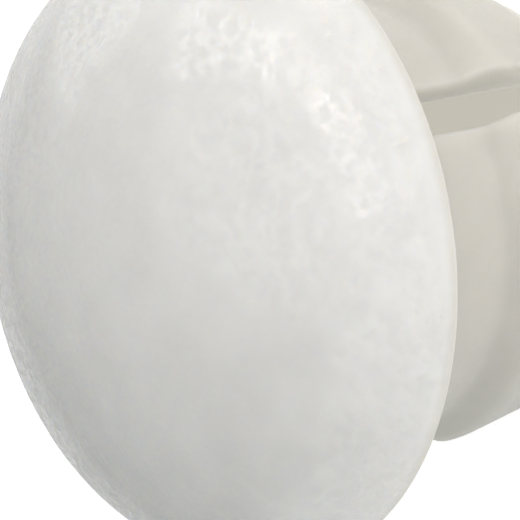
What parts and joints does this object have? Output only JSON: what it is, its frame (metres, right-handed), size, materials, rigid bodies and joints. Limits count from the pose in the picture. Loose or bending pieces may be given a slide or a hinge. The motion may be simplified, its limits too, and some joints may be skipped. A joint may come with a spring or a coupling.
{
  "type": "hole plug",
  "caption": "Snap-in hole plug: a domed head with a thin rim over a hollow split barrel whose barbed fingers catch behind the panel.",
  "frame": {"origin": "centre of the flat under the rim that lies on the panel, on the axis of the plug", "axes": "+Z along the axis, from the barrel up through the top of the dome; the middle of one slot faces -Y"},
  "size_m": [0.0186, 0.0186, 0.0149],
  "materials": {
    "white_plastic": "satin, fine moulded grain"
  },
  "bodies": {
    "root": {"plug_body": "white_plastic"}
  },
  "joints": []
}
